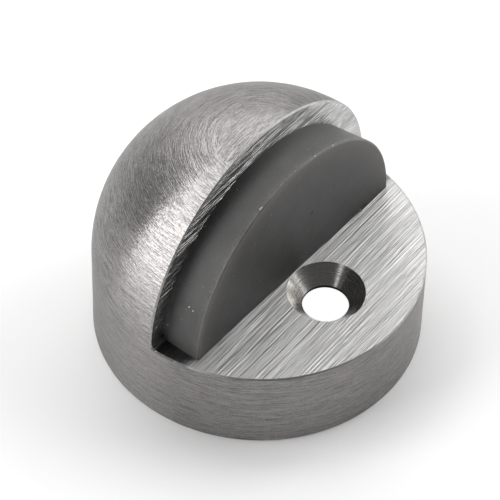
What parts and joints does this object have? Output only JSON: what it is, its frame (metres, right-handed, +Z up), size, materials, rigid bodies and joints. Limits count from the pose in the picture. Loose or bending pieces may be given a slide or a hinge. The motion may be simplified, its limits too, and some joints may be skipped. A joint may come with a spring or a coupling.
{
  "type": "dome door stop",
  "caption": "Floor-mounted dome door stop: brushed metal dome with its front cut away to a ledge, a countersunk screw hole and a half-moon rubber bumper.",
  "frame": {"origin": "centre of the round foot, on the floor", "axes": "+Z up from the floor, -Y towards the door that meets the bumper, +X along the bumper's face"},
  "size_m": [0.0444, 0.0444, 0.0349],
  "materials": {
    "brushed_metal": "satin",
    "grey_rubber": "matte"
  },
  "bodies": {
    "root": {"dome_body": "brushed_metal", "rubber_bumper": "grey_rubber"}
  },
  "joints": []
}
